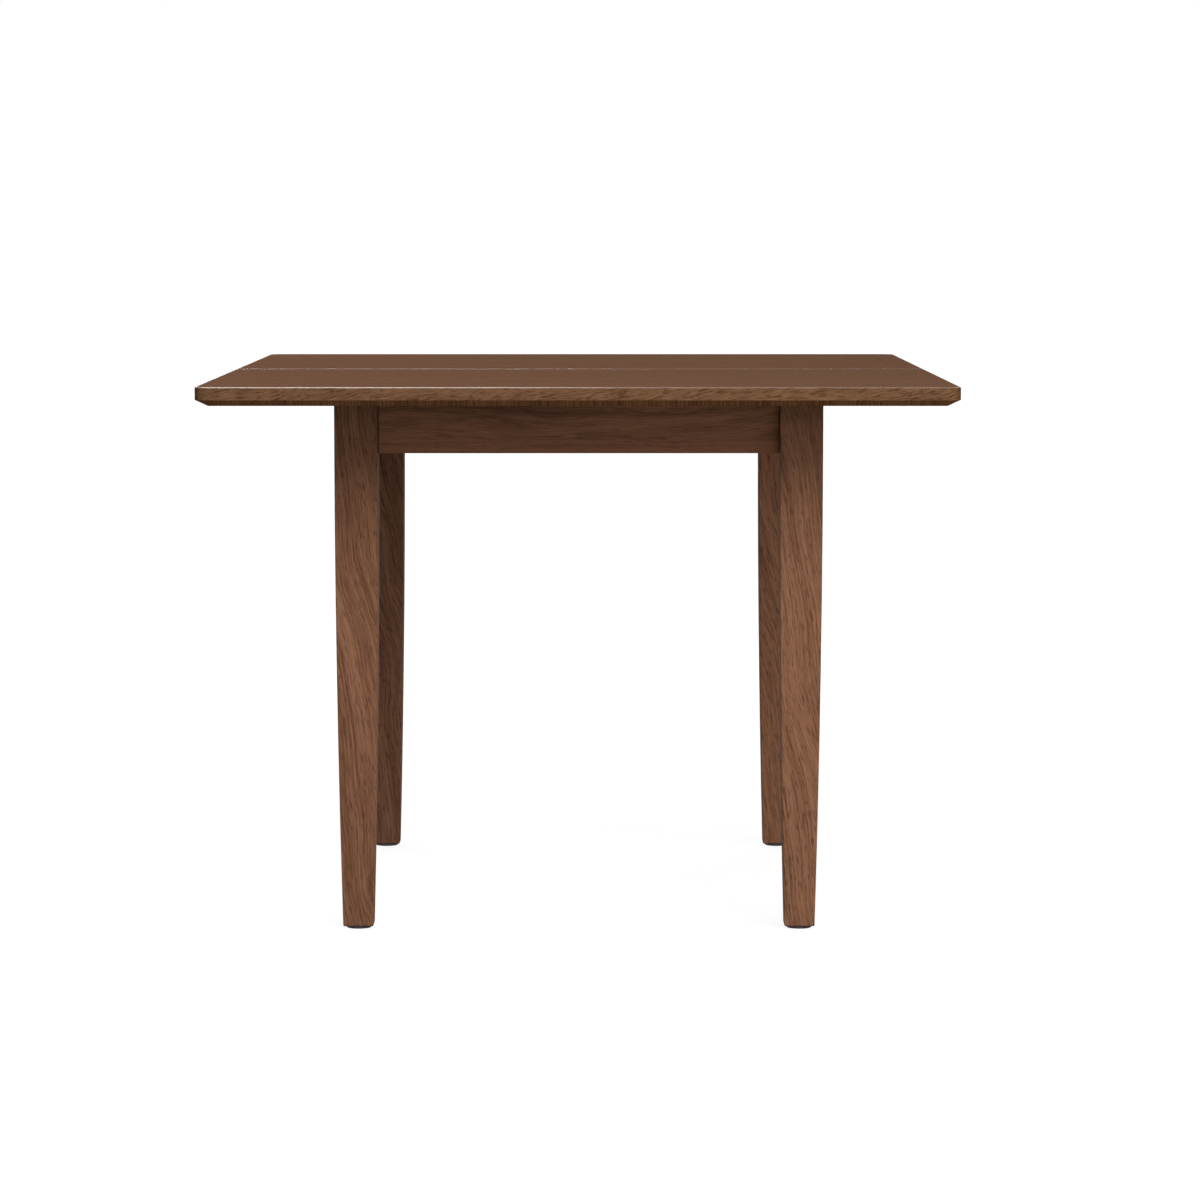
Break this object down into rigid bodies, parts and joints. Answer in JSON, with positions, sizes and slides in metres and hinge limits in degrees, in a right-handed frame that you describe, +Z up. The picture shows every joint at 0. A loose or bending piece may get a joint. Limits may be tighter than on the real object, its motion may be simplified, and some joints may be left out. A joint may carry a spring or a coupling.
{
  "type": "extending dining table",
  "caption": "Extending dining table: the top's halves slide apart on synchronised rack-and-pinion slides over a fixed frame that stores a folding leaf.",
  "frame": {"origin": "on the floor, at the middle of the closed table", "axes": "+Z up, Y along the table's length in which the halves slide apart, the front half at -Y, X across"},
  "size_m": [1, 1.35, 0.755],
  "materials": {
    "top_wood": "satin walnut, straight fine grain",
    "leg_wood": "satin walnut",
    "apron_wood": "satin walnut",
    "leaf_wood": "satin walnut",
    "inner_wood": "planed beech, unfinished",
    "pin_wood": "smooth beech",
    "glide_plastic": "dark grey, matte",
    "pad_felt": "grey felt",
    "slide_metal": "extruded, satin",
    "gear_plastic": "white acetal",
    "stop_plastic": "black",
    "hinge_brass": "satin",
    "steel": "zinc plated"
  },
  "bodies": {
    "frame": {"apron_front": "apron_wood", "apron_left": "apron_wood", "apron_rear": "apron_wood", "apron_right": "apron_wood", "bearer_front": "inner_wood", "bearer_rear": "inner_wood", "bracket_screws": "steel", "cleat_left": "inner_wood", "cleat_right": "inner_wood", "corner_block_front_left": "inner_wood", "corner_block_front_right": "inner_wood", "corner_block_rear_left": "inner_wood", "corner_block_rear_right": "inner_wood", "flange_nuts": "steel", "frame_pads": "pad_felt", "glide_front_left": "glide_plastic", "glide_front_right": "glide_plastic", "glide_rear_left": "glide_plastic", "glide_rear_right": "glide_plastic", "glide_screws": "steel", "hanger_bolts": "steel", "leaf_alignment_pins": "pin_wood", "leaf_hinge_links": "hinge_brass", "leaf_hinge_plates": "hinge_brass", "leaf_panel_lower": "leaf_wood", "leaf_panel_upper": "leaf_wood", "leaf_pivot_brackets": "steel", "leaf_pivot_plates": "steel", "leg_front_left": "leg_wood", "leg_front_right": "leg_wood", "leg_rear_left": "leg_wood", "leg_rear_right": "leg_wood", "long_screws": "steel", "pinion_axles": "steel", "rail_end_stops": "stop_plastic", "rail_screws": "steel", "short_screws": "steel", "slide_rail_left": "slide_metal", "slide_rail_right": "slide_metal"},
    "front_half": {"top_front": "top_wood", "runner_front_left": "slide_metal", "runner_front_right": "slide_metal", "rack_front_left": "gear_plastic", "rack_front_right": "gear_plastic", "runner_screws_front": "steel", "catch_bases": "steel", "catch_screws": "steel"},
    "rear_half": {"top_rear": "top_wood", "runner_rear_left": "slide_metal", "runner_rear_right": "slide_metal", "rack_rear_left": "gear_plastic", "rack_rear_right": "gear_plastic", "runner_screws_rear": "steel", "alignment_pins": "pin_wood", "catch_keepers": "steel", "keeper_screws": "steel"},
    "pinion_left": {"pinion_left": "gear_plastic"},
    "pinion_right": {"pinion_right": "gear_plastic"},
    "catch_left": {"catch_lever_left": "steel"},
    "catch_right": {"catch_lever_right": "steel"}
  },
  "joints": [
    {"name": "front_slide", "type": "slide", "parent": "frame", "child": "front_half", "axis": [0, -1, 0], "range_m": [0, 0.228]},
    {"name": "rear_slide", "type": "slide", "parent": "frame", "child": "rear_half", "axis": [0, 1, 0], "range_m": [0, 0.228]},
    {"name": "pinion_left_spin", "type": "hinge", "parent": "frame", "child": "pinion_left", "pos_m": [-0.276, 0, 0.7125], "axis": [0, 0, -1], "range_deg": [-1, 1091]},
    {"name": "pinion_right_spin", "type": "hinge", "parent": "frame", "child": "pinion_right", "pos_m": [0.276, 0, 0.7125], "axis": [0, 0, -1], "range_deg": [-1, 1091]},
    {"name": "catch_left_swivel", "type": "hinge", "parent": "front_half", "child": "catch_left", "pos_m": [-0.4, -0.03, 0.7251], "axis": [0, 0, 1], "range_deg": [0, 90]},
    {"name": "catch_right_swivel", "type": "hinge", "parent": "front_half", "child": "catch_right", "pos_m": [0.4, -0.03, 0.7251], "axis": [0, 0, 1], "range_deg": [0, 90]}
  ],
  "couplings": [
    {"joint": "rear_slide", "follows": "front_slide", "ratio": 1},
    {"joint": "pinion_left_spin", "follows": "front_slide", "rad_per_m": 83.333},
    {"joint": "pinion_right_spin", "follows": "front_slide", "rad_per_m": 83.333}
  ]
}
